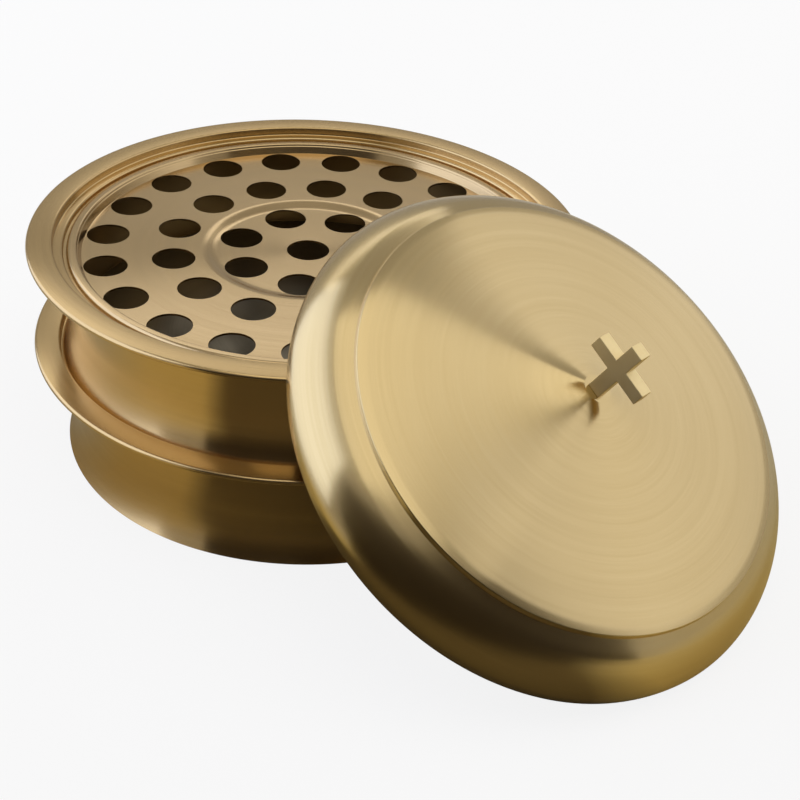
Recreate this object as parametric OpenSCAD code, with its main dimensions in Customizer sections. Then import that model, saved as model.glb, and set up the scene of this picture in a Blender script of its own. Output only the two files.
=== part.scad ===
// Brass communion tray set: two stacked cup trays and a domed lid with a cross, the lid leaning on the stack.
// Sizes in millimetres, +Z up, origin at the middle of the lower tray's underside.

/* [Tray] */
// Outer radius of a tray over its rolled rim
rim_r = 155.5; // [150:0.5:170]
// Height of one tray from its foot to the top of its rim
tray_h = 66; // [56:1:80]
// Thickness of the sheet that the trays are spun from
sheet_t = 1; // [0.8:0.1:1.4]
// Radius of the roll that stiffens the rim
roll_r = 1.6; // [1.5:0.1:2.4]
// Width of the flange from the rolled edge to the step, which locates what stands on the tray
flange_w = 14.2; // [10:0.1:20]
// Depth of the ledge below the rim
step_h = 5; // [4:0.5:8]
// Width of the ledge that carries a tray or the lid
ledge_w = 5.3; // [4.5:0.1:7]
// Depth of the cup plate's seat below the ledge
seat_h = 3; // [2.4:0.1:5]
// Width of the cup plate's seat
seat_w = 3.6; // [3.2:0.1:5]
// Height of the flare that widens the neck into the foot
flare_h = 26; // [16:1:40]
// Bend radius of the sheet at the step and the ledge
bend_r = 1.2; // [0.8:0.1:1.6]
// Radial room between the step and a foot or lid standing in it
nest_gap = 0.8; // [0.4:0.1:1.5]
// Solder gap around a base disc
solder_gap = 0.05; // [0.03:0.01:0.1]

/* [Cup plate] */
// Thickness of a cup plate
plate_t = 1.2; // [0.8:0.1:1.6]
// Radial gap between a cup plate and the ledge around it
plate_gap = 1.8; // [0.8:0.1:2.2]
// How far the plate's rim lies below the ledge
plate_sink = 0.4; // [0.2:0.1:0.8]
// Width of the plate's flat rim
plate_rim_w = 5.5; // [4:0.1:8]
// Depth of the plate's floor below its rim
plate_drop = 5.6; // [3:0.1:8]
// Width of the slanted wall between rim and floor
plate_slant_w = 2.2; // [1.5:0.1:4]
// Radius of a cup hole
hole_r = 12; // [10:0.25:12.5]
// Metal left between the outer holes and the plate's slanted wall
hole_margin = 0.7; // [0.3:0.1:3]
// Distance from the outer to the middle ring of holes
mid_ring_step = 37.6; // [35:0.1:40]
// Distance from the middle to the inner ring of holes
inner_ring_step = 35.9; // [34:0.1:38]
// Least distance from hole to hole, measured along a ring
hole_pitch = 36; // [32:0.5:44]
// Turn of the outer ring of holes, in degrees
outer_turn = 42.2; // [0:0.1:90]
// Turn of the middle ring of holes, in degrees
mid_turn = 54.4; // [0:0.1:90]
// Turn of the inner ring of holes, in degrees
inner_turn = 58.1; // [0:0.1:90]
// Depth of the pressed recess in the middle of the plate
recess_h = 2; // [1:0.1:3]
// Width of the slope around the recess
recess_slope_w = 5.6; // [3:0.1:8]
// Metal left between the inner holes and the slope of the recess
recess_margin = 0.5; // [0.3:0.1:2]

/* [Lid] */
// Thickness of the lid's sheet
lid_t = 1; // [0.8:0.1:1.4]
// How far the lid's shoulder bulges past its edge
lid_bulge = 0.8; // [0.4:0.1:4]
// Height of the widest part of the shoulder above the edge
lid_bulge_h = 6; // [5:0.5:14]
// Radius of the step between shoulder and cone
lid_ring_r = 118.6; // [105:0.1:125]
// Height of the shoulder's top above the edge
lid_shoulder_h = 30.2; // [20:0.1:36]
// Fullness of the shoulder's curve: 1 is a straight slope and 2 is an ellipse
lid_fullness = 1.5; // [1.3:0.05:2.2]
// Height of the step between shoulder and cone
lid_step_h = 4; // [3:0.1:6]
// Width of the step's slope
lid_step_w = 3.6; // [1:0.1:5]
// Rounding at the top of the step
lid_round = 14; // [3:0.5:14]
// How far the cone sags below a straight line from the step to the top
lid_sag = 2; // [0:0.1:3]
// Height of the lid from its edge to the flat at its top
lid_h = 54.5; // [46:0.5:70]
// Radius of the flat at the top, where the cross stands
lid_flat_r = 7; // [6.5:0.1:10]
// Lean of the lid from level, in degrees
lean = 34.2; // [30:0.1:40]
// Compass direction in which the lid slopes down, in degrees from +X
lean_dir = -47.6; // [-90:0.1:90]
// Gap between the leaning lid's edge and the upper rim
lean_gap = 0.3; // [0.2:0.05:1]

/* [Cross] */
// Height of the cross above the lid
cross_h = 38; // [30:0.5:45]
// Length of the cross bar
cross_l = 35; // [22:0.1:45]
// Width of the arms
arm_w = 8; // [7:0.1:10]
// Thickness of the arms
arm_t = 7; // [6.5:0.1:10]
// Height of the middle of the cross bar
bar_h = 20.8; // [15:0.1:24]
// Radius of the stud that holds the cross
stud_r = 2; // [1.5:0.1:2.5]
// Length of the stud inside the cross
stud_up = 9; // [5:0.5:14]
// Radial clearance around the stud
stud_gap = 0.1; // [0.05:0.01:0.25]
// Outer radius of the washer under the lid
washer_r = 5; // [4.5:0.1:6.5]
// Thickness of the washer
washer_t = 1; // [0.6:0.1:1.6]
// Width across the flats of the nut
nut_af = 7; // [6.5:0.1:9]
// Height of the nut
nut_h = 3.2; // [2.4:0.1:5]
// Length of thread that shows past the nut
thread_end = 1.2; // [0.5:0.1:3]

/* [Hidden] */
$fn = 128;
brass = "#b79a5c";
plate_brass = "#ad9266";
lid_brass = "#c9b37e";
bend_steps = 5;
roll_steps = 20;
flare_steps = 12;
shoulder_steps = 14;
cone_steps = 12;
edge_steps = 4;
cut = 1;
// Angle above level at which the rim's roll comes nearest to the leaning lid
roll_touch_a = 50;

// Heights and radii of a tray, from its rim inwards
step_r = rim_r - flange_w;
ledge_z = tray_h - step_h;
seat_z = ledge_z - seat_h;
ledge_r = step_r - ledge_w;
neck_in_r = ledge_r - seat_w;
neck_r = neck_in_r + sheet_t;
foot_r = step_r - nest_gap;
stack_z = ledge_z;

// The flare is an arc that leaves the neck upright and meets the floor at the foot
flare_w = foot_r - neck_r;
flare_arc_r = (flare_h * flare_h + flare_w * flare_w) / (2 * flare_w);
flare_mid_r = neck_r + flare_arc_r;
flare_in_r = flare_arc_r + sheet_t;
flare_out_a = asin(flare_h / flare_arc_r);
flare_in_a = asin((flare_h - sheet_t) / flare_in_r);
base_seat_r = flare_mid_r - flare_in_r * cos(flare_in_a);

// Heights and radii of a cup plate
plate_r = ledge_r - plate_gap;
plate_rim_z = ledge_z - plate_sink;
plate_z = plate_rim_z - plate_drop;
plate_lip_r = plate_r - plate_rim_w;
plate_flat_r = plate_lip_r - plate_slant_w;
outer_ring_r = plate_flat_r - hole_margin - hole_r;
mid_ring_r = outer_ring_r - mid_ring_step;
inner_ring_r = mid_ring_r - inner_ring_step;
recess_r = inner_ring_r + hole_r + recess_margin;

// Heights and radii of the lid, and the place where it leans
lid_edge_r = step_r - nest_gap;
lid_wide_r = lid_edge_r + lid_bulge;
edge_arc_r = (lid_bulge_h * lid_bulge_h + lid_bulge * lid_bulge) / (2 * lid_bulge);
edge_arc_a = asin(lid_bulge_h / edge_arc_r);
lid_cone_z = lid_shoulder_h + lid_step_h;
lid_cone_r = lid_ring_r - lid_step_w;
lid_slope = atan2(lid_h - lid_cone_z, lid_cone_r - lid_flat_r);
step_a = atan2(lid_step_h, lid_step_w);
step_round = min(lid_round, 0.9 * norm([lid_step_w, lid_step_h]) / tan((step_a - lid_slope) / 2));
step_tangent = step_round * tan((step_a - lid_slope) / 2);
round_r = lid_cone_r + step_tangent * cos(step_a) - step_round * sin(step_a);
round_z = lid_cone_z - step_tangent * sin(step_a) - step_round * cos(step_a);
touch_r = rim_r - roll_r + roll_r * cos(roll_touch_a);
touch_z = stack_z + tray_h - roll_r + roll_r * sin(roll_touch_a);
lid_z = lid_edge_r * sin(lean);
lid_rise = touch_z - lid_z;
chord_d = lid_rise / sin(lean);
lid_clear_r = lid_edge_r - lid_t - lean_gap;
touch_d = sqrt(touch_r * touch_r - lid_clear_r * lid_clear_r + chord_d * chord_d);
lid_d = touch_d + lid_rise / tan(lean);
stud_down = lid_t + washer_t + nut_h + thread_end;

// Points of an arc around [r, z]
function arc(r, z, radius, from, to, steps) =
    [for (i = [0 : steps]) let (a = from + (to - from) * i / steps) [r + radius * cos(a), z + radius * sin(a)]];

// Unit vector of a step along a path, and the direction to its left
function unit(v) = v / norm(v);
function left_of(v) = [-v[1], v[0]];

// Path moved to its left by a distance, with mitred corners
function moved(path, d) = [
    for (i = [0 : len(path) - 1])
        let (
            last = len(path) - 1,
            a = left_of(unit(i > 0 ? path[i] - path[i - 1] : path[1] - path[0])),
            b = left_of(unit(i < last ? path[i + 1] - path[i] : path[last] - path[last - 1]))
        )
        path[i] + d * (a + b) / (1 + a * b)
];
function backwards(path) = [for (i = [len(path) - 1 : -1 : 0]) path[i]];

// Section of a sheet whose upper face follows a path, with the metal on the path's left
function sheet_section(path, t) = concat(path, backwards(moved(path, t)));

// Inside of a tray from its rim down to its base, then the outside back up and round the roll
function dish_section() = concat(
    arc(step_r + bend_r, tray_h - bend_r, bend_r, 90, 180, bend_steps),
    [[step_r, ledge_z]],
    arc(ledge_r + bend_r, ledge_z - bend_r, bend_r, 90, 180, bend_steps),
    [[ledge_r, seat_z], [neck_in_r, seat_z]],
    arc(flare_mid_r, flare_h, flare_in_r, 180, 180 + flare_in_a, flare_steps),
    [[base_seat_r, 0]],
    arc(flare_mid_r, flare_h, flare_arc_r, 180 + flare_out_a, 180, flare_steps),
    [
        [neck_r, seat_z - sheet_t],
        [ledge_r + sheet_t, seat_z - sheet_t],
        [ledge_r + sheet_t, ledge_z - sheet_t],
        [step_r + sheet_t, ledge_z - sheet_t],
        [step_r + sheet_t, tray_h - sheet_t]
    ],
    arc(rim_r - roll_r, tray_h - roll_r, roll_r, 180 - asin((roll_r - sheet_t) / roll_r), 450, roll_steps)
);

// Top of a cup plate from the foot of its turned-down lip to its middle
function plate_path() = concat(
    [[plate_r, seat_z]],
    arc(plate_r - plate_t - bend_r, plate_rim_z - plate_t - bend_r, plate_t + bend_r, 0, 90, bend_steps),
    [
        [plate_lip_r, plate_rim_z],
        [plate_flat_r, plate_z],
        [recess_r + recess_slope_w, plate_z],
        [recess_r, plate_z - recess_h],
        [0, plate_z - recess_h]
    ]
);

// Outside of the lid from its edge up over the shoulder and the step to the flat at its top.
// The sag is greatest two thirds of the way up the cone, where 6.75 * u * u * (1 - u) is 1
function lid_path() = concat(
    arc(lid_wide_r - edge_arc_r, lid_bulge_h, edge_arc_r, -edge_arc_a, 0, edge_steps),
    [
        for (i = [1 : shoulder_steps - 1])
            let (a = 90 * i / shoulder_steps)
            [
                lid_ring_r + (lid_wide_r - lid_ring_r) * pow(cos(a), 2 / lid_fullness),
                lid_bulge_h + (lid_shoulder_h - lid_bulge_h) * pow(sin(a), 2 / lid_fullness)
            ]
    ],
    [[lid_ring_r, lid_shoulder_h]],
    arc(round_r, round_z, step_round, 90 - step_a, 90 - lid_slope, bend_steps),
    [
        for (i = [1 : cone_steps])
            let (u = i / cone_steps)
            [
                lid_cone_r + (lid_flat_r - lid_cone_r) * u,
                lid_cone_z + (lid_h - lid_cone_z) * u - lid_sag * 6.75 * u * u * (1 - u)
            ]
    ],
    [[0, lid_h]]
);

// One cup hole at a distance from the plate's middle
module cup_hole(radius) {
    translate([radius, 0, plate_z - plate_t - recess_h - cut])
        cylinder(r = hole_r, h = plate_t + recess_h + 2 * cut);
}

// Ring with as many cup holes as their pitch allows
module hole_ring(radius, turn) {
    count = floor(2 * PI * radius / hole_pitch);
    for (k = [0 : count - 1])
        rotate([0, 0, turn + 360 * k / count]) cup_hole(radius);
}

module dish() {
    color(brass) rotate_extrude() polygon(dish_section());
}

module base() {
    color(brass) cylinder(r = base_seat_r - solder_gap, h = sheet_t);
}

module cup_plate() {
    color(plate_brass) difference() {
        rotate_extrude() polygon(sheet_section(plate_path(), plate_t));
        hole_ring(outer_ring_r, outer_turn);
        hole_ring(mid_ring_r, mid_turn);
        hole_ring(inner_ring_r, inner_turn);
        cup_hole(0);
    }
}

// Upper tray's place: its foot stands on the lower tray's ledge
module on_stack() {
    translate([0, 0, stack_z]) children();
}

// Lid's place: its edge on the floor and against the upper rim on both sides
module leaning() {
    rotate([0, 0, lean_dir]) translate([lid_d, 0, lid_z]) rotate([0, lean, 0]) children();
}

module lower_dish() { dish(); }
module lower_base() { base(); }
module lower_cup_plate() { cup_plate(); }
module upper_dish() { on_stack() dish(); }
module upper_base() { on_stack() base(); }
module upper_cup_plate() { on_stack() cup_plate(); }

module lid_shell() {
    color(lid_brass) leaning() difference() {
        rotate_extrude() polygon(sheet_section(lid_path(), lid_t));
        translate([0, 0, lid_h - lid_t - cut]) cylinder(r = stud_r + stud_gap, h = lid_t + 2 * cut);
    }
}

module cross() {
    color(brass) leaning() translate([0, 0, lid_h]) difference() {
        union() {
            translate([-arm_w / 2, -arm_t / 2, 0]) cube([arm_w, arm_t, cross_h]);
            translate([-cross_l / 2, -arm_t / 2, bar_h - arm_w / 2]) cube([cross_l, arm_t, arm_w]);
        }
        translate([0, 0, -cut]) cylinder(r = stud_r + stud_gap, h = stud_up + cut);
    }
}

module cross_stud() {
    color(brass) leaning() translate([0, 0, lid_h - stud_down]) cylinder(r = stud_r, h = stud_down + stud_up);
}

module lid_washer() {
    color(brass) leaning() translate([0, 0, lid_h - lid_t - washer_t]) difference() {
        cylinder(r = washer_r, h = washer_t);
        translate([0, 0, -cut]) cylinder(r = stud_r + stud_gap, h = washer_t + 2 * cut);
    }
}

module lid_nut() {
    color(brass) leaning() translate([0, 0, lid_h - lid_t - washer_t - nut_h]) difference() {
        cylinder(r = nut_af / sqrt(3), h = nut_h, $fn = 6);
        translate([0, 0, -cut]) cylinder(r = stud_r + stud_gap, h = nut_h + 2 * cut);
    }
}

lower_dish();
lower_base();
lower_cup_plate();
upper_dish();
upper_base();
upper_cup_plate();
lid_shell();
cross();
cross_stud();
lid_washer();
lid_nut();
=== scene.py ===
# %% [markdown]
# # A brass communion tray set
# Two round cup trays stand on each other, and their domed lid with a cross leans on the stack.
# The trays and the lid were spun from sheet brass on a lathe and the cup plates were pressed,
# so almost all of the set is a section turned around an axis.
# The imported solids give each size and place. This lesson turns the same sections again
# with softer bends, and gives them a brushed finish that follows the turning.

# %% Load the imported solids
import math

import bmesh
import bpy
import numpy as np
from mathutils import Matrix, Vector


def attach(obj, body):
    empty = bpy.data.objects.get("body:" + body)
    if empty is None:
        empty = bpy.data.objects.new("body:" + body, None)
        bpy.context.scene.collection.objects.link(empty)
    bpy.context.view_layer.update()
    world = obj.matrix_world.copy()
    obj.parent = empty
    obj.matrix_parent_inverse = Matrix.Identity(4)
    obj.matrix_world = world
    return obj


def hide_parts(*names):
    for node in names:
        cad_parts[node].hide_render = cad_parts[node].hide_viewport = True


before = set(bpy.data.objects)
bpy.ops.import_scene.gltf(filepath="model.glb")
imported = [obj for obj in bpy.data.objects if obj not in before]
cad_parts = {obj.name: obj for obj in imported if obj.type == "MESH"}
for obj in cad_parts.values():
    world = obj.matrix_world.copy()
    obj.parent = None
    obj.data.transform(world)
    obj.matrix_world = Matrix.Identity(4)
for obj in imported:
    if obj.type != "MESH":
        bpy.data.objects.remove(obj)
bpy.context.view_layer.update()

MM = 0.001

# %% [markdown]
# ## The camera
# The set is seen from in front and from well above, by a short telephoto lens.
# A camera could be aimed with a Track To constraint, but a small roll is needed as well,
# so its three axes are worked out and put in its matrix.

# %% Camera
LENS_MM = 68.94
SENSOR_MM = 36.0
NEAREST_SEEN = 10 * MM
CAMERA_PLACE = Vector((0.0, -772.28, 524.77)) * MM
YAW, PITCH, ROLL = (math.radians(a) for a in (4.22, 33.461, 3.231))

ahead = Vector((
    math.sin(YAW) * math.cos(PITCH), math.cos(YAW) * math.cos(PITCH), -math.sin(PITCH)))
level_right = Vector((math.cos(YAW), -math.sin(YAW), 0.0))
level_up = level_right.cross(ahead)
right = level_right * math.cos(ROLL) + level_up * math.sin(ROLL)
up = level_up * math.cos(ROLL) - level_right * math.sin(ROLL)
camera_turn = Matrix((right, up, -ahead)).transposed().to_4x4()

bpy.ops.object.select_all(action="DESELECT")
bpy.ops.object.camera_add()
camera = bpy.context.object
camera.name = "photo_camera"
camera.data.lens = LENS_MM
camera.data.sensor_width = SENSOR_MM
camera.data.clip_start = NEAREST_SEEN
camera.matrix_world = Matrix.Translation(CAMERA_PLACE) @ camera_turn
bpy.context.scene.camera = camera
print("camera at", [round(v, 3) for v in CAMERA_PLACE],
      "looks down by", round(math.degrees(PITCH), 1), "degrees")

# %% [markdown]
# ## Nodes and colours
# Materials are small graphs of nodes, which could be wired one socket at a time.
# One function adds a node, sets it and links it instead, so that a graph reads like a list.
# Colours are written as sRGB hex values, as a paint program shows them,
# and turned to the linear values that a shader needs.


# %% Node helper and colour helper
def linear(hex_colour):
    """Linear red, green and blue with a full alpha, by the curve of the sRGB standard."""
    shares = [int(hex_colour[i:i + 2], 16) / 255 for i in (1, 3, 5)]
    return tuple(s / 12.92 if s <= 0.04045 else ((s + 0.055) / 1.055) ** 2.4 for s in shares) + (1.0,)


def add_node(tree, kind, sockets=None, **settings):
    """A node with its settings. A socket gets a value, or a link from another node's output."""
    node = tree.nodes.new(kind)
    for key, value in settings.items():
        setattr(node, key, value)
    for key, value in (sockets or {}).items():
        if isinstance(value, bpy.types.NodeSocket):
            tree.links.new(value, node.inputs[key])
        else:
            node.inputs[key].default_value = value
    return node


def new_material(name):
    material = bpy.data.materials.new(name)
    material.use_nodes = True
    tree = material.node_tree
    tree.nodes.clear()
    return material, tree


print("white is", linear("#FFFFFF")[:3])

# %% [markdown]
# ## The floor
# Metal shows what stands around it more than its own colour, so the studio is half of the finish.
# The floor is plain paper, white to the camera. In the brass it shows painted bounce and shade:
# a golden painted bounce close in front of the trays, greyer beside and behind them, and a dark painted shade
# right in front.
# Several papers could be laid side by side, but their edges would show in the brass.
# One sheet whose colour changes with the distance and direction from the middle has soft edges.

# %% Floor
FLOOR_SIZE = 12.0
FLOOR_DROP = 0.2 * MM

scene = bpy.context.scene
scene.view_settings.view_transform = "Standard"

bpy.ops.object.select_all(action="DESELECT")
bpy.ops.mesh.primitive_plane_add(size=FLOOR_SIZE, location=(0, 0, -FLOOR_DROP))
floor = bpy.context.object
floor.name = "floor"
bpy.ops.object.transform_apply(location=True, rotation=True, scale=True)
print("floor", FLOOR_SIZE, "m across")

# %% Painted bounce and shade of the floor, seen in the brass
# Distances from the middle are in metres; directions are cosines of the angle from the front.
FRONT = (0.0, -1.0, 0.0)
NEAR_END, FAR_START = 0.3, 1.3
BESIDE, IN_FRONT = 0.0, 0.5
DARK_EDGE, DARK_FULL = 0.80, 0.88
DARK_FROM, DARK_BY = 0.145, 0.17

floor_paper, tree = new_material("white_paper_with_painted_bounce_and_shade")
where = add_node(tree, "ShaderNodeTexCoord")
reach = add_node(tree, "ShaderNodeVectorMath", {0: where.outputs["Object"]}, operation="LENGTH")
way = add_node(tree, "ShaderNodeVectorMath", {0: where.outputs["Object"]}, operation="NORMALIZE")
facing = add_node(
    tree, "ShaderNodeVectorMath", {0: way.outputs[0], 1: FRONT}, operation="DOT_PRODUCT")
# Painted bounce: golden close in front of the trays stands for warm light thrown back by the brass; greyer
# beside and behind them.
golden = add_node(tree, "ShaderNodeMapRange", {
    "Value": facing.outputs["Value"], "From Min": BESIDE, "From Max": IN_FRONT})
near = add_node(tree, "ShaderNodeMix", {
    "Factor": golden.outputs[0], "A": linear("#D6D2BC"), "B": linear("#ECDA98")}, data_type="RGBA")
far = add_node(tree, "ShaderNodeMapRange", {
    "Value": reach.outputs["Value"], "From Min": NEAR_END, "From Max": FAR_START})
warm = add_node(tree, "ShaderNodeMix", {
    "Factor": far.outputs[0], "A": near.outputs["Result"], "B": linear("#E6E2DA")}, data_type="RGBA")
# Painted shade: a dark wedge right in front of the set stands for the shade that falls on the floor there.
wedge = add_node(tree, "ShaderNodeMapRange", {
    "Value": facing.outputs["Value"], "From Min": DARK_EDGE, "From Max": DARK_FULL})
clear = add_node(tree, "ShaderNodeMapRange", {
    "Value": reach.outputs["Value"], "From Min": DARK_FROM, "From Max": DARK_BY})
dark = add_node(tree, "ShaderNodeMath", {0: wedge.outputs[0], 1: clear.outputs[0]}, operation="MULTIPLY")
painted_bounce_and_shade = add_node(tree, "ShaderNodeMix", {
    "Factor": dark.outputs[0], "A": warm.outputs["Result"], "B": linear("#7A6C4C")}, data_type="RGBA")
print("the floor is dark in front from", DARK_BY, "m on")

# %% Floor paper
WHITE_SHARE = 0.86

# Matt paper: an even white to the eye, and painted bounce and shade from below in the brass.
path = add_node(tree, "ShaderNodeLightPath")
tint = add_node(tree, "ShaderNodeMix", {
    "Factor": path.outputs["Is Camera Ray"], "A": painted_bounce_and_shade.outputs["Result"],
    "B": linear("#F4F3F1")}, data_type="RGBA")
paper = add_node(tree, "ShaderNodeBsdfDiffuse", {"Color": tint.outputs["Result"], "Roughness": 1.0})
glow = add_node(tree, "ShaderNodeEmission", {"Color": linear("#FFFFFF"), "Strength": 1.0})
seen = add_node(
    tree, "ShaderNodeMath", {0: path.outputs["Is Camera Ray"], 1: WHITE_SHARE}, operation="MULTIPLY")
bright = add_node(tree, "ShaderNodeMixShader", {
    "Fac": seen.outputs[0], 1: paper.outputs["BSDF"], 2: glow.outputs["Emission"]})
add_node(tree, "ShaderNodeOutputMaterial", {"Surface": bright.outputs["Shader"]})
floor.data.materials.append(floor_paper)
print("floor paper:", floor_paper.name, "with", len(tree.nodes), "nodes")

# %% [markdown]
# ## The world
# A studio's walls and ceiling send back a little light, so the world is a soft and slightly warm dome.
# It could be a sky or a gradient, but an even dome leaves the drawing of the brass to the lamps.
# The camera sees plain white in its place, so the set stands before white from every side.

# %% World
DOME = 0.42

world = bpy.data.worlds.new("studio_dome")
scene.world = world
world.use_nodes = True
tree = world.node_tree
tree.nodes.clear()
dome = add_node(tree, "ShaderNodeBackground", {"Color": linear("#F7F2EA"), "Strength": DOME})
backdrop = add_node(tree, "ShaderNodeBackground", {"Color": linear("#FFFFFF"), "Strength": 1.0})
path = add_node(tree, "ShaderNodeLightPath")
sky = add_node(tree, "ShaderNodeMixShader", {
    "Fac": path.outputs["Is Camera Ray"],
    1: dome.outputs["Background"], 2: backdrop.outputs["Background"]})
add_node(tree, "ShaderNodeOutputWorld", {"Surface": sky.outputs["Shader"]})
print("dome strength", DOME)

# %% [markdown]
# ## The lamps
# Large lamps stand for softboxes: a bright one at the left, a weaker one at the right,
# a low strip behind for the flat plates, and one overhead for the lid's cone.
# Point lamps would draw small hard glints. Area lamps draw broad, soft bands on brushed metal.
# A lamp's power is worked out from how bright its face looks, so its size can change on its own.


# %% Lamps
def softbox(name, place, aim, size, radiance, tint):
    bpy.ops.object.select_all(action="DESELECT")
    bpy.ops.object.light_add(type="AREA", location=place)
    lamp = bpy.context.object
    lamp.name = name
    lamp.data.shape = "RECTANGLE"
    lamp.data.size, lamp.data.size_y = size
    lamp.data.color = linear(tint)[:3]
    lamp.data.energy = radiance * math.pi * size[0] * size[1]
    lamp.rotation_euler = (Vector(aim) - Vector(place)).to_track_quat("-Z", "Y").to_euler()
    lamp.visible_camera = False
    return lamp


# Name, place, aim and size in metres, brightness of the face, and tint.
MIDDLE = (0.05, -0.05, 0.08)
LAMPS = [
    ("left_softbox", (-1.25, 0.15, 0.85), MIDDLE, (2.2, 1.6), 1.65, "#D4E0FF"),
    ("right_softbox", (1.37, 0.16, 0.99), MIDDLE, (2.2, 1.34), 0.67, "#FBFBFF"),
    ("back_softbox", (-0.3, 1.58, 1.3), MIDDLE, (1.6, 0.37), 1.2, "#FFFFFF"),
    ("top_softbox", (0.28, -0.42, 2.0), (0.28, -0.42, 0.0), (1.75, 1.88), 0.86, "#FFFCF4"),
]
for lamp_values in LAMPS:
    print("lamp", softbox(*lamp_values).name)

# %% [markdown]
# ## Turning a section
# A spinner presses a disc of brass over a form on the lathe, so a tray is one section turned around
# its axis. It could be made with a Screw modifier on a curve. Here one point is drawn along the section
# by extruding it, and the Spin tool turns the line into the shell, which leaves clean rings of faces
# along the turning marks. A map is laid over each turned piece: its first value runs along the section,
# its second one around the axis.


# %% Section helpers
def arc(r, z, radius, start, end, steps):
    """Points (r, z) of an arc around a middle, from one angle to another in degrees."""
    angles = [math.radians(start + (end - start) * i / steps) for i in range(steps + 1)]
    return [(r + radius * math.cos(a), z + radius * math.sin(a)) for a in angles]


def rounded(corners, steps=5):
    """Points of a line through corners (r, z, bend radius), each bend an arc."""
    points = []
    for i, (r, z, bend) in enumerate(corners):
        if not bend or i in (0, len(corners) - 1):
            points.append((r, z))
            continue
        corner = Vector((r, z))
        before = (Vector(corners[i - 1][:2]) - corner).normalized()
        after = (Vector(corners[i + 1][:2]) - corner).normalized()
        half = before.angle(after) / 2
        middle = corner + (before + after).normalized() * bend / math.sin(half)
        first, last = (corner + way * bend / math.tan(half) - middle for way in (before, after))
        sweep = first.angle_signed(last)
        for k in range(steps + 1):
            spoke = first.copy()
            spoke.rotate(Matrix.Rotation(-sweep * k / steps, 2))
            points.append(tuple(middle + spoke))
    return points


def with_rings(points, step_mm):
    """The same line with more points on its long straight runs."""
    full = [points[0]]
    for (r0, z0), (r1, z1) in zip(points, points[1:]):
        parts = max(1, round(math.hypot(r1 - r0, z1 - z0) / step_mm))
        full += [(r0 + (r1 - r0) * k / parts, z0 + (z1 - z0) * k / parts) for k in range(1, parts + 1)]
    return full


def moved_up(section, height):
    return [(r, z + height) for r, z in section]


print("bend test:", len(rounded([(10, 0, 0), (10, 10, 2), (0, 10, 0)])), "points")

# %% The Spin tool
TURN_STEPS = 192
MERGE_MM = 0.002


def turned(name, section, closed=True, steps=TURN_STEPS, degrees=360):
    """A piece turned around Z from a section of (r, z) in millimetres."""
    places = [Vector((r, 0, z)) * MM for r, z in section]
    bpy.ops.object.select_all(action="DESELECT")
    bpy.ops.mesh.primitive_plane_add(size=MM)
    obj = bpy.context.object
    obj.name = obj.data.name = name
    bpy.ops.object.mode_set(mode="EDIT")
    bpy.ops.mesh.select_mode(type="VERT")
    bpy.ops.mesh.select_all(action="SELECT")
    bpy.ops.mesh.merge(type="CENTER")
    bpy.ops.transform.translate(value=places[0])
    for here, there in zip(places, places[1:]):
        bpy.ops.mesh.extrude_region_move(TRANSFORM_OT_translate={"value": there - here})
    if closed:
        mesh = bmesh.from_edit_mesh(obj.data)
        mesh.verts.ensure_lookup_table()
        for vert in (mesh.verts[0], mesh.verts[-1]):
            vert.select_set(True)
        bmesh.update_edit_mesh(obj.data)
        bpy.ops.mesh.edge_face_add()
    bpy.ops.mesh.select_all(action="SELECT")
    bpy.ops.mesh.spin(steps=steps, angle=math.radians(degrees), center=(0, 0, 0), axis=(0, 0, 1))
    bpy.ops.mesh.select_all(action="SELECT")
    bpy.ops.mesh.remove_doubles(threshold=MERGE_MM * MM)
    bpy.ops.mesh.normals_make_consistent(inside=False)
    bpy.ops.object.mode_set(mode="OBJECT")
    return obj


print("spin steps:", TURN_STEPS, "a turn, or", 360 / TURN_STEPS, "degrees a face")

# %% The map of a turned piece
TURNED_MAP = "turned"
MAP_UNIT_MM = 100.0


def along_section(points, section, closed):
    """How far along the section each point (r, z) lies, and the section's length, in millimetres."""
    line = np.array(section + section[:1] if closed else section)
    steps = np.diff(line, axis=0)
    lengths = np.linalg.norm(steps, axis=1)
    starts = np.concatenate([[0], np.cumsum(lengths)])
    off = points[:, None, :] - line[None, :-1, :]
    share = np.clip((off * steps).sum(2) / lengths ** 2, 0, 1)
    miss = np.linalg.norm(off - share[..., None] * steps, axis=2)
    best = miss.argmin(1)
    return starts[best] + share[np.arange(len(best)), best] * lengths[best], starts[-1]


def lay_map(obj, section, closed=True):
    """A map along the section in units of 100 mm, and around the axis in turns."""
    mesh = obj.data
    place = np.zeros(len(mesh.vertices) * 3)
    mesh.vertices.foreach_get("co", place)
    place = place.reshape(-1, 3) / MM
    flat = np.stack([np.hypot(place[:, 0], place[:, 1]), place[:, 2]], 1)
    along, length = along_section(flat, section, closed)
    around = np.arctan2(place[:, 1], place[:, 0]) / (2 * math.pi)
    layer = mesh.uv_layers.new(name=TURNED_MAP)
    corner = np.zeros(len(mesh.loops), int)
    mesh.loops.foreach_get("vertex_index", corner)
    first, count = np.zeros(len(mesh.polygons), int), np.zeros(len(mesh.polygons), int)
    mesh.polygons.foreach_get("loop_start", first)
    mesh.polygons.foreach_get("loop_total", count)
    # A face that crosses the end of the map is carried on past it, so that it isn't smeared back.
    columns = []
    for values, period in ((along / MAP_UNIT_MM, length / MAP_UNIT_MM), (around, 1.0)):
        got = values[corner]
        most = np.repeat(np.maximum.reduceat(got, first), count)
        columns.append(np.where(got < most - period / 2, got + period, got))
    layer.data.foreach_set("uv", np.stack(columns, 1).ravel())


print("one unit of the map is", MAP_UNIT_MM, "mm along the section")


# %% Smoothing and modifiers
SMOOTH_DEGREES = 35


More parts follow.
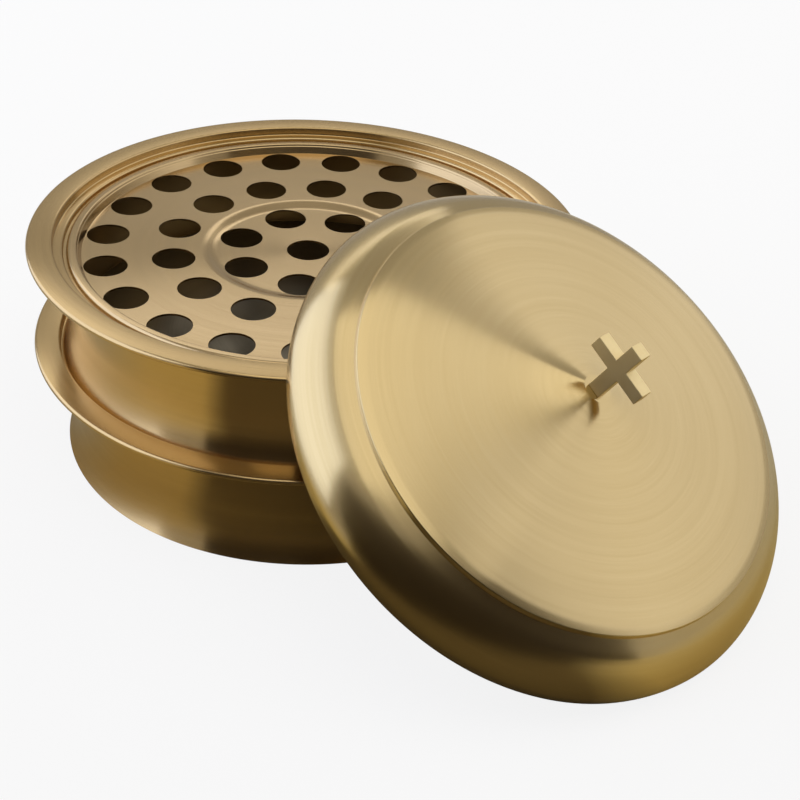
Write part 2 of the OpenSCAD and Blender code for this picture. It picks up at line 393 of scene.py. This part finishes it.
def only(obj):
    """Selects one object alone and makes it the active one."""
    bpy.ops.object.select_all(action="DESELECT")
    obj.select_set(True)
    bpy.context.view_layer.objects.active = obj


def smooth(obj, degrees=SMOOTH_DEGREES):
    """Smooth shading, with edges sharper than an angle left sharp."""
    only(obj)
    bpy.ops.object.shade_smooth_by_angle(angle=math.radians(degrees))


def apply_all(obj):
    only(obj)
    for modifier in list(obj.modifiers):
        bpy.ops.object.modifier_apply(modifier=modifier.name)


def merge_close(obj):
    """Merges points that lie on each other, such as the slivers that a Boolean can leave."""
    only(obj)
    bpy.ops.object.mode_set(mode="EDIT")
    bpy.ops.mesh.select_all(action="SELECT")
    bpy.ops.mesh.remove_doubles(threshold=MERGE_MM * MM)
    bpy.ops.object.mode_set(mode="OBJECT")


print("edges that bend by less than", SMOOTH_DEGREES, "degrees are smoothed")

# %% [markdown]
# ## A dark cloth in front
# Spun brass looks rich when something dark stands before its lower curves, so a dark cloth hangs
# in front of the set. It could be a plane bent round by a modifier. An upright edge that the Spin tool
# sweeps through part of a turn gives the same bow at once.
# The camera doesn't see it, but the brass does, and its ends draw the edges of the dark bands.

# %% Dark cloth
CLOTH_R, CLOTH_H = 600.0, 470.0
CLOTH_START, CLOTH_SWEEP, CLOTH_STEPS = -43, 86, 24

# Wool felt: it takes in nearly all light and gives back a little warmth.
black_felt, tree = new_material("black_felt")
felt = add_node(tree, "ShaderNodeBsdfDiffuse", {"Color": linear("#4A4034"), "Roughness": 1.0})
add_node(tree, "ShaderNodeOutputMaterial", {"Surface": felt.outputs["BSDF"]})

cloth = turned("dark_cloth", [(CLOTH_R, 0), (CLOTH_R, CLOTH_H)], False, CLOTH_STEPS, CLOTH_SWEEP)
cloth.data.transform(Matrix.Rotation(math.radians(CLOTH_START), 4, "Z"))
cloth.data.materials.append(black_felt)
cloth.visible_camera = False
print(cloth.name, "reaches", round(max(v.co.z for v in cloth.data.vertices), 2), "m high")

# %% [markdown]
# ## Brushed brass
# The set is brass with a satin finish: the lathe turned under an abrasive pad, so fine scratches run
# round the axis. Such scratches spread a highlight across them, which draws the bright fans on the lid.
# That is anisotropy: the shader is told the direction by the map, and noise that is long around the axis
# and short along the section gives the scratches themselves. They could be modelled as fine grooves,
# but there are thousands. Real scratches are about 0.1 mm apart, too fine for the picture,
# so they are drawn six times as wide, or nine times on the raw sheet.
# The lid and the plates have a thin clear lacquer too, which adds a faint second gloss.
# The base discs, which hardly show, stay as they were rolled, dull and grey, and their grey is partly painted
# shade under the plates.


# %% Turning marks
def wrapped_map(tree):
    """The map's two values, and its place on a cylinder, where the turn closes without a seam."""
    uv = add_node(tree, "ShaderNodeUVMap", uv_map=TURNED_MAP)
    axes = add_node(tree, "ShaderNodeSeparateXYZ", {"Vector": uv.outputs["UV"]})
    angle = add_node(tree, "ShaderNodeMath", {0: axes.outputs["Y"], 1: 2 * math.pi}, operation="MULTIPLY")
    cosine = add_node(tree, "ShaderNodeMath", {0: angle.outputs[0]}, operation="COSINE")
    sine = add_node(tree, "ShaderNodeMath", {0: angle.outputs[0]}, operation="SINE")
    wrap = add_node(tree, "ShaderNodeCombineXYZ", {
        "X": axes.outputs["X"], "Y": cosine.outputs[0], "Z": sine.outputs[0]})
    return axes, wrap


def marks(tree, wrap, width_mm, reach, detail):
    """Noise of a width across the turning marks, and a reach along them in shares of the radius."""
    stretch = add_node(tree, "ShaderNodeVectorMath", {
        0: wrap.outputs[0], 1: (MAP_UNIT_MM / width_mm, 1 / reach, 1 / reach)}, operation="MULTIPLY")
    return add_node(tree, "ShaderNodeTexNoise", {
        "Vector": stretch.outputs[0], "Scale": 1.0, "Detail": detail, "Roughness": 0.6}).outputs["Fac"]


print("marks follow the map", TURNED_MAP)

# %% Brass material
# The bands that the pad's passes leave are six scratches wide.
SCRATCH_REACH, BAND_REACH, BAND_SCRATCHES = 0.7, 2.5, 6
CLOUD_MM = 90.0
TONE_SHARES = (0.4, 0.25, 0.35)
TONE_LOW, TONE_HIGH = 0.25, 0.75
BAND_LOW, BAND_HIGH, ROUGHNESS_SWING = 0.3, 0.7, 0.015
POLISHED_MM, BRUSHED_MM, POLISH = 20.0, 60.0, 0.06


def brushed_brass(name, pale, deep, roughness, anisotropy, scratch_mm, lacquer, tip_mm=None):
    """Brass brushed on the lathe, and polished finer around a tip where one is given."""
    material, tree = new_material(name)
    axes, wrap = wrapped_map(tree)
    # Scratches, bands of the pad's passes, and slow changes of tone across the sheet.
    scratches = marks(tree, wrap, scratch_mm, SCRATCH_REACH, 2.0)
    bands = marks(tree, wrap, BAND_SCRATCHES * scratch_mm, BAND_REACH, 1.0)
    where = add_node(tree, "ShaderNodeTexCoord")
    cloud = add_node(tree, "ShaderNodeTexNoise", {
        "Vector": where.outputs["Object"], "Scale": 1 / (CLOUD_MM * MM),
        "Detail": 2.0, "Roughness": 0.5}).outputs["Fac"]
    tone = 0.0
    for pattern, weight in zip((scratches, bands, cloud), TONE_SHARES):
        tone = add_node(
            tree, "ShaderNodeMath", {0: pattern, 1: weight, 2: tone}, operation="MULTIPLY_ADD").outputs[0]
    share = add_node(tree, "ShaderNodeMapRange", {
        "Value": tone, "From Min": TONE_LOW, "From Max": TONE_HIGH, "To Min": 0.0, "To Max": 1.0})
    colour = add_node(tree, "ShaderNodeMix", {
        "Factor": share.outputs[0], "A": linear(pale), "B": linear(deep)}, data_type="RGBA")
    rough = add_node(tree, "ShaderNodeMapRange", {
        "Value": bands, "From Min": BAND_LOW, "From Max": BAND_HIGH,
        "To Min": roughness - ROUGHNESS_SWING, "To Max": roughness + ROUGHNESS_SWING})
    if tip_mm:
        past = add_node(
            tree, "ShaderNodeMath", {0: axes.outputs["X"], 1: tip_mm / MAP_UNIT_MM}, operation="SUBTRACT")
        from_tip = add_node(tree, "ShaderNodeMath", {0: past.outputs[0]}, operation="ABSOLUTE")
        polish = add_node(tree, "ShaderNodeMapRange", {
            "Value": from_tip.outputs[0], "From Min": POLISHED_MM / MAP_UNIT_MM,
            "From Max": BRUSHED_MM / MAP_UNIT_MM, "To Min": -POLISH, "To Max": 0.0})
        rough = add_node(tree, "ShaderNodeMath", {0: rough.outputs[0], 1: polish.outputs[0]}, operation="ADD")
    bump = add_node(tree, "ShaderNodeBump", {"Height": scratches, "Strength": 0.35, "Distance": 0.02 * MM})
    tangent = add_node(tree, "ShaderNodeTangent", direction_type="UV_MAP", uv_map=TURNED_MAP)
    brass = add_node(tree, "ShaderNodeBsdfPrincipled", {
        "Base Color": colour.outputs["Result"], "Metallic": 1.0, "Roughness": rough.outputs[0],
        "Anisotropic": anisotropy, "Tangent": tangent.outputs[0], "Normal": bump.outputs[0],
        "Coat Weight": lacquer, "Coat Roughness": 0.12})
    add_node(tree, "ShaderNodeOutputMaterial", {"Surface": brass.outputs["BSDF"]})
    return material


print("slow changes of tone are", CLOUD_MM, "mm across")

# %% Brass of the trays and plates
# Brass turned under a pad: stripes of light that run with the wall, and a greener tone between the marks.
tray_brass = brushed_brass(
    "tray_brushed_brass", "#CFB485", "#C3A672",
    roughness=0.21, anisotropy=0.86, scratch_mm=0.6, lacquer=0.0)
# Rolled brass with its skin on: dull and grey, and darkened as painted shade under the plates,
# so that the cup holes look down on a quiet dark.
raw_brass_with_painted_shade = brushed_brass(
    "raw_unpolished_brass_and_painted_shade", "#8E8674", "#7A7262",
    roughness=0.34, anisotropy=0.3, scratch_mm=0.9, lacquer=0.0)
# Pressed sheet, brushed and lacquered: a flatter and paler gloss that takes the light behind the set.
plate_brass = brushed_brass(
    "plate_brushed_brass", "#CBB186", "#BFA475",
    roughness=0.2, anisotropy=0.7, scratch_mm=0.6, lacquer=0.2)
print("materials:", tray_brass.name, raw_brass_with_painted_shade.name, plate_brass.name)

# %% [markdown]
# ## The tray bodies
# A tray's wall narrows to a neck and flares out again to its foot. Above it come the seat of the
# cup plate, a ledge that the next tray stands on, a step, and a flange with a rolled edge.
# A Solidify modifier could thicken one face of the sheet. One closed section gives the inside and
# the outside at once, each with its own bends, so the sheet keeps its thickness of 1 mm.

# %% Tray sizes
RIM_R, TRAY_H, SHEET, ROLL_R, ROLL_LAP = 155.5, 66.0, 1.0, 1.6, 1.5
STEP_R, LEDGE_Z, LEDGE_R, SEAT_Z, NECK_IN_R = 141.3, 61.0, 136.0, 58.0, 132.4
FOOT_R, FLARE_H = 140.5, 26.0
# Bend radii of the sheet inside, and of its hollow and outer corners underneath.
BEND, STEP_BEND, SEAT_BEND, NECK_BEND = 1.2, 0.7, 0.4, 0.9
UNDER_HOLLOW, UNDER_EDGE = 1.2, 0.8
# The roll ends 10 degrees short of the flange's top, which is at a quarter past the whole turn.
ROLL_END = 440

NECK_R = NECK_IN_R + SHEET
flare_w = FOOT_R - NECK_R
flare_arc = (FLARE_H ** 2 + flare_w ** 2) / (2 * flare_w)
flare_mid = NECK_R + flare_arc
outside_angle = math.degrees(math.asin(FLARE_H / flare_arc))
inside_angle = math.degrees(math.asin((FLARE_H - SHEET) / (flare_arc + SHEET)))
base_seat_r = flare_mid - (flare_arc + SHEET) * math.cos(math.radians(inside_angle))
roll_r, roll_z = RIM_R - ROLL_R, TRAY_H - ROLL_R
roll_start = 180 - math.degrees(math.asin((ROLL_R - SHEET) / ROLL_R))
print("the foot flares by", round(flare_w, 1), "mm on an arc of", round(flare_arc, 1), "mm")

# %% Tray section
inside = rounded([
    (roll_r, TRAY_H, 0), (STEP_R, TRAY_H, BEND), (STEP_R, LEDGE_Z, STEP_BEND), (LEDGE_R, LEDGE_Z, BEND),
    (LEDGE_R, SEAT_Z, SEAT_BEND), (NECK_IN_R, SEAT_Z, NECK_BEND), (NECK_IN_R, FLARE_H, 0)])
inside_flare = arc(flare_mid, FLARE_H, flare_arc + SHEET, 180, 180 + inside_angle, 16)[1:]
outside_flare = arc(flare_mid, FLARE_H, flare_arc, 180 + outside_angle, 180, 18)
underside = rounded([
    (NECK_R, FLARE_H, 0), (NECK_R, SEAT_Z - SHEET, UNDER_HOLLOW),
    (LEDGE_R + SHEET, SEAT_Z - SHEET, UNDER_EDGE), (LEDGE_R + SHEET, LEDGE_Z - SHEET, UNDER_EDGE),
    (STEP_R + SHEET, LEDGE_Z - SHEET, UNDER_HOLLOW), (STEP_R + SHEET, TRAY_H - SHEET, UNDER_EDGE),
    (roll_r - ROLL_LAP, TRAY_H - SHEET, 0)])[1:]
roll = arc(roll_r, roll_z, ROLL_R, roll_start, ROLL_END, 24)
tray_section = inside + inside_flare + [(base_seat_r, 0)] + outside_flare + underside + roll
print("tray section:", len(tray_section), "points")

# %% Trays
# The upper tray stands on the ledge of the lower one.
TRAYS = [("lower", 0.0), ("upper", LEDGE_Z)]
for level, height in TRAYS:
    section = moved_up(tray_section, height)
    dish = turned(level + "_tray_body", section)
    lay_map(dish, section)
    smooth(dish)
    dish.data.materials.append(tray_brass)
    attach(dish, level + "_tray")
    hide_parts(level + "_dish")
    print(dish.name, len(dish.data.polygons), "faces")

# %% [markdown]
# ## The base discs
# A wall that narrows above its foot can't be spun with its floor, so a disc is soldered into the foot.
# It could be a filled circle, but it is turned like the rest, with its edges eased,
# and keeps its raw, unpolished skin, whose dull grey is partly painted shade under the plate.

# %% Base discs
SOLDER_GAP, DISC_EASE = 0.05, 0.15
disc_r = base_seat_r - SOLDER_GAP
disc_section = rounded(
    [(0, SHEET, 0), (disc_r, SHEET, DISC_EASE), (disc_r, 0, DISC_EASE), (0, 0, 0)], 3)
for level, height in TRAYS:
    section = moved_up(disc_section, height)
    disc = turned(level + "_base_disc", section, closed=False)
    lay_map(disc, section, closed=False)
    smooth(disc)
    disc.data.materials.append(raw_brass_with_painted_shade)
    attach(disc, level + "_tray")
    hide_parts(level + "_base")
    print(disc.name, len(disc.data.polygons), "faces")

# %% [markdown]
# ## The cup plates
# A cup plate is a pressed disc that lies loose in the tray: a flat rim with a turned-down lip,
# a slanted wall, a floor with rings of holes for the cups, and a shallow recess in the middle.
# The holes could be drawn as circles and bridged one by one. A Boolean modifier punches all of them
# at once, as a press does, and leaves them with clean, sharp edges. Points that the cut puts on
# each other are merged, and a Weighted Normal keeps the flat floor looking flat.

# %% Cup plate section
PLATE, PLATE_R, PLATE_RIM_Z, PLATE_LIP_R, PLATE_FLAT_R = 1.2, 134.2, 60.6, 128.7, 126.5
PLATE_Z, PLATE_BEND, PLATE_STEP_MM = 55.0, 1.0, 4.0
RECESS_R, RECESS_W, RECESS_H, RECESS_BEND = 52.8, 5.6, 2.0, 12.0
HOLE_R = 12.0


def plate_line(inset):
    """One face of the plate's sheet, from its lip to the middle hole, inset from the upper face."""
    lip_r, rim_z = PLATE_R - inset, PLATE_RIM_Z - inset
    lip_bend = PLATE + BEND - inset
    slant = math.atan2(PLATE_RIM_Z - PLATE_Z, PLATE_LIP_R - PLATE_FLAT_R)
    shift = inset * math.tan(slant / 2)
    slope = math.atan2(RECESS_H, RECESS_W)
    dip = inset * math.tan(slope / 2)
    floor_z = PLATE_Z - inset
    return [
        (lip_r, SEAT_Z, 0), (lip_r, rim_z, lip_bend), (PLATE_LIP_R - shift, rim_z, PLATE_BEND),
        (PLATE_FLAT_R - shift, floor_z, PLATE_BEND), (RECESS_R + RECESS_W + dip, floor_z, RECESS_BEND),
        (RECESS_R + dip, floor_z - RECESS_H, RECESS_BEND), (HOLE_R, floor_z - RECESS_H, 0)]


plate_top = with_rings(rounded(plate_line(0)), PLATE_STEP_MM)
plate_under = with_rings(rounded(plate_line(PLATE)), PLATE_STEP_MM)
plate_section = plate_top + plate_under[::-1]
print("plate section:", len(plate_section), "points")

# %% Punches for the holes
# Each ring's radius, its number of holes, and the angle of its first hole in degrees.
RINGS = [(113.8, 19, 42.2), (76.2, 13, 54.4), (40.3, 7, 58.1)]
HOLE_SIDES, PUNCH_DEPTH = 64, 12.0


def punch_tools(height):
    """Punches for all rings, joined in one object."""
    tools = []
    for ring_r, count, turn in RINGS:
        for k in range(count):
            a = math.radians(turn + 360 * k / count)
            bpy.ops.object.select_all(action="DESELECT")
            bpy.ops.mesh.primitive_cylinder_add(
                vertices=HOLE_SIDES, radius=HOLE_R * MM, depth=PUNCH_DEPTH * MM,
                location=(ring_r * math.cos(a) * MM, ring_r * math.sin(a) * MM, (PLATE_Z + height) * MM))
            tools.append(bpy.context.object)
    for tool in tools:
        tool.select_set(True)
    bpy.ops.object.join()
    bpy.ops.object.transform_apply(location=True, rotation=True, scale=True)
    return bpy.context.object


print("holes to punch:", sum(count for _, count, _ in RINGS))

# %% Cup plates
FLAT_WEIGHT = 80

for level, height in TRAYS:
    section = moved_up(plate_section, height)
    plate = turned(level + "_cup_plate_pressing", section)
    tools = punch_tools(height)
    punch = plate.modifiers.new("punch", "BOOLEAN")
    punch.operation, punch.object, punch.solver = "DIFFERENCE", tools, "EXACT"
    apply_all(plate)
    bpy.data.objects.remove(tools)
    merge_close(plate)
    lay_map(plate, section)
    smooth(plate)
    flat = plate.modifiers.new("flat", "WEIGHTED_NORMAL")
    flat.keep_sharp, flat.weight = True, FLAT_WEIGHT
    apply_all(plate)
    plate.data.materials.append(plate_brass)
    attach(plate, level + "_plate")
    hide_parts(level + "_cup_plate")
    print(plate.name, len(plate.data.polygons), "faces")

# %% [markdown]
# ## The lid
# The lid is one spun dome: a sloping shoulder, a small sharp step with a rounded bead above it,
# and a shallow cone that sags a little on its way up to a small flat for the cross.
# It could be turned about a leaning axis. It is turned upright like the trays, mapped, and only then
# leaned against the stack, so its turning marks run round its own axis.
# The tip is polished finer, and the cross mirrors in it.

# %% Lid shoulder
LID, LID_EDGE_R, LID_WIDE_R, LID_BULGE_H = 1.0, 140.5, 141.3, 6.0
LID_RING_R, LID_SHOULDER_H, LID_FULLNESS = 118.6, 30.2, 1.5
# The shoulder's round ends at this angle, and goes on straight to the step.
ROUND_DEGREES, ROUND_STEPS = 62, 20

lid_spread = LID_WIDE_R - LID_EDGE_R
edge_arc_r = (LID_BULGE_H ** 2 + lid_spread ** 2) / (2 * lid_spread)
edge_angle = math.degrees(math.asin(LID_BULGE_H / edge_arc_r))
shoulder = arc(LID_WIDE_R - edge_arc_r, LID_BULGE_H, edge_arc_r, -edge_angle, 0, 6)
for k in range(1, ROUND_STEPS + 1):
    a = math.radians(ROUND_DEGREES * k / ROUND_STEPS)
    shoulder.append((
        LID_RING_R + (LID_WIDE_R - LID_RING_R) * math.cos(a) ** (2 / LID_FULLNESS),
        LID_BULGE_H + (LID_SHOULDER_H - LID_BULGE_H) * math.sin(a) ** (2 / LID_FULLNESS)))
print("lid shoulder:", len(shoulder), "points")

# %% Lid step, cone and tip
CREASE, RISER, BEAD = (119.0, 30.6, 0.0), (118.5, 33.15, 0.6), (114.4, 34.31, 26.0)
LID_CONE_R, LID_CONE_Z, LID_SAG = 115.0, 34.2, 2.0
LID_H, LID_FLAT_R, TIP_BEND, STUD_HOLE_R = 54.5, 7.0, 6.0, 2.1
CONE_START, CONE_END, CONE_STEPS = 0.08, 0.94, 28
# The curve u * u * (1 - u) is at most 4 / 27, so this makes the deepest sag 1.
SAG_SCALE = 27 / 4


def on_cone(u):
    """A place on the cone's sagging line, from the step at 0 to the flat at 1."""
    sag = LID_SAG * SAG_SCALE * u * u * (1 - u)
    return LID_CONE_R + (LID_FLAT_R - LID_CONE_R) * u, LID_CONE_Z + (LID_H - LID_CONE_Z) * u - sag


step = rounded([CREASE, RISER, BEAD, (*on_cone(CONE_START), 0)], 8)
cone = [on_cone(CONE_START + (CONE_END - CONE_START) * k / CONE_STEPS) for k in range(1, CONE_STEPS)]
tip = rounded([(*on_cone(CONE_END), 0), (LID_FLAT_R, LID_H, TIP_BEND), (STUD_HOLE_R, LID_H, 0)], 6)
lid_outside = shoulder + step + cone + tip
lid_tip_mm = sum(math.dist(p, q) for p, q in zip(lid_outside, lid_outside[1:]))
print("from the lid's edge to its tip:", round(lid_tip_mm, 1), "mm of sheet")

# %% Lid section
LID_STEP_MM = 5.0


def sheet_under(points, thickness):
    """The other face of a sheet, moved square to the line by its thickness."""
    moved = []
    for i, (r, z) in enumerate(points):
        before = Vector(points[max(i - 1, 0)])
        after = Vector(points[min(i + 1, len(points) - 1)])
        way = (after - before).normalized()
        moved.append((r - way.y * thickness, z + way.x * thickness))
    return moved


lid_inside = [p for p in sheet_under(lid_outside, LID) if p[0] >= STUD_HOLE_R]
lid_inside[-1] = (STUD_HOLE_R, LID_H - LID)
lid_section = with_rings(lid_outside, LID_STEP_MM) + with_rings(lid_inside, LID_STEP_MM)[::-1]
print("lid section:", len(lid_section), "points")

# %% Lid
LEAN, LEAN_DIR = math.radians(34.2), math.radians(-47.6)
LID_PLACE = (120.572, -132.043, 78.973)


def lean_on_stack(obj):
    """Turns and moves an upright lid piece to where the lid leans, in its mesh."""
    only(obj)
    turn = Matrix.Rotation(LEAN_DIR, 4, "Z") @ Matrix.Rotation(LEAN, 4, "Y")
    obj.matrix_world = Matrix.Translation(Vector(LID_PLACE) * MM) @ turn
    bpy.ops.object.transform_apply(location=True, rotation=True, scale=True)


# Brass brushed on the lathe and lacquered: fans of light that open from the tip.
lid_brass = brushed_brass(
    "lid_brushed_brass", "#D2BC8C", "#C8B07C",
    roughness=0.21, anisotropy=0.9, scratch_mm=0.6, lacquer=0.35, tip_mm=lid_tip_mm)
lid = turned("lid_dome", lid_section)
lay_map(lid, lid_section)
smooth(lid)
lean_on_stack(lid)
lid.data.materials.append(lid_brass)
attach(lid, "lid")
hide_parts("lid_shell")
lowest = min(v.co.z for v in lid.data.vertices) / MM
print(lid.name, len(lid.data.polygons), "faces, lowest point", round(lowest, 2), "mm")

# %% [markdown]
# ## The cross
# The cross is sawn from bar that is nearly square: one upright with two arms of the same section.
# It could be two bars joined by a Boolean. Here a cube becomes the upright, two Bisects mark where
# the arms leave it, and the faces between them are extruded, which leaves only whole, plain faces.
# A small Bevel breaks the edges, as a file would.

# %% Cross
CROSS_H, CROSS_L, ARM_W, ARM_T, BAR_H = 38.0, 35.0, 8.0, 7.0, 20.8
FILED_EDGE, FILED_SMOOTH_DEGREES = 0.35, 40

bpy.ops.object.select_all(action="DESELECT")
bpy.ops.mesh.primitive_cube_add(size=1.0)
cross = bpy.context.object
cross.name = cross.data.name = "lid_cross"
cross.scale = (ARM_W * MM, ARM_T * MM, CROSS_H * MM)
cross.location = (0, 0, CROSS_H * MM / 2)
bpy.ops.object.transform_apply(location=True, rotation=True, scale=True)
bpy.ops.object.mode_set(mode="EDIT")
for cut_z in (BAR_H - ARM_W / 2, BAR_H + ARM_W / 2):
    bpy.ops.mesh.select_all(action="SELECT")
    bpy.ops.mesh.bisect(plane_co=(0, 0, cut_z * MM), plane_no=(0, 0, 1))
bpy.ops.mesh.select_mode(type="FACE")
arm = (CROSS_L - ARM_W) / 2 * MM
for side in (-1, 1):
    bpy.ops.mesh.select_all(action="DESELECT")
    mesh = bmesh.from_edit_mesh(cross.data)
    for face in mesh.faces:
        off_bar = abs(face.calc_center_median().z - BAR_H * MM)
        if face.normal.x * side > 0.9 and off_bar < ARM_W * MM / 4:
            face.select_set(True)
    bmesh.update_edit_mesh(cross.data)
    bpy.ops.mesh.extrude_region_move(TRANSFORM_OT_translate={"value": (side * arm, 0, 0)})
bpy.ops.object.mode_set(mode="OBJECT")
print(cross.name, "sawn from bar:", len(cross.data.polygons), "faces")

# %% Filing the cross and setting it on the lid
ease = cross.modifiers.new("filed_edges", "BEVEL")
ease.width, ease.segments, ease.limit_method = FILED_EDGE * MM, 3, "ANGLE"
apply_all(cross)
smooth(cross, FILED_SMOOTH_DEGREES)
flat = cross.modifiers.new("flat", "WEIGHTED_NORMAL")
flat.weight = FLAT_WEIGHT
apply_all(cross)
cross.data.transform(Matrix.Translation((0, 0, LID_H * MM)))
lean_on_stack(cross)
print(cross.name, "filed:", len(cross.data.polygons), "faces")

# %% [markdown]
# ## Plain brass for the cross and its fixing
# The cross is smoothed by hand and has no turning marks, so its gloss is the same in every direction.
# The turned finish could be used with no anisotropy, but it would keep its rings.
# So this one has only a fine grain and slow changes of tone.

# %% Plain brass
# The grain of a 0.1 mm grit is too fine for the picture, so it is drawn seven times as coarse.
TONE_MM, GRAIN_MM = 9.0, 0.7
GRAIN_LOW, GRAIN_HIGH, GRAIN_SWING = 0.3, 0.7, 0.04


def plain_brass(name, pale, deep, roughness):
    """Brass with clouds of tone and a fine grain that is the same in every direction."""
    material, tree = new_material(name)
    where = add_node(tree, "ShaderNodeTexCoord")
    cloud = add_node(tree, "ShaderNodeTexNoise", {
        "Vector": where.outputs["Object"], "Scale": 1 / (TONE_MM * MM), "Detail": 3.0, "Roughness": 0.55})
    grain = add_node(tree, "ShaderNodeTexNoise", {
        "Vector": where.outputs["Object"], "Scale": 1 / (GRAIN_MM * MM), "Detail": 2.0, "Roughness": 0.6})
    colour = add_node(tree, "ShaderNodeMix", {
        "Factor": cloud.outputs["Fac"], "A": linear(pale), "B": linear(deep)}, data_type="RGBA")
    rough = add_node(tree, "ShaderNodeMapRange", {
        "Value": grain.outputs["Fac"], "From Min": GRAIN_LOW, "From Max": GRAIN_HIGH,
        "To Min": roughness - GRAIN_SWING, "To Max": roughness + GRAIN_SWING})
    bump = add_node(tree, "ShaderNodeBump", {
        "Height": grain.outputs["Fac"], "Strength": 0.2, "Distance": 0.02 * MM})
    brass = add_node(tree, "ShaderNodeBsdfPrincipled", {
        "Base Color": colour.outputs["Result"], "Metallic": 1.0, "Roughness": rough.outputs[0],
        "Normal": bump.outputs[0]})
    add_node(tree, "ShaderNodeOutputMaterial", {"Surface": brass.outputs["BSDF"]})
    return material


# Bar filed and rubbed with emery: an even, soft and pale gloss.
cross_brass = plain_brass("cross_filed_brass", "#F4E2B2", "#E8D29C", roughness=0.5)
# Bar turned and threaded by machine: a tighter and yellower gloss.
fixing_brass = plain_brass("fixing_machined_brass", "#BFA566", "#A98E50", roughness=0.3)
cross.data.materials.append(cross_brass)
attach(cross, "lid")
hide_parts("cross")
for fixing in ("cross_stud", "lid_washer", "lid_nut"):
    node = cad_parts[fixing]
    node.data.materials.clear()
    node.data.materials.append(fixing_brass)
print("finished:", cross_brass.name, fixing_brass.name)
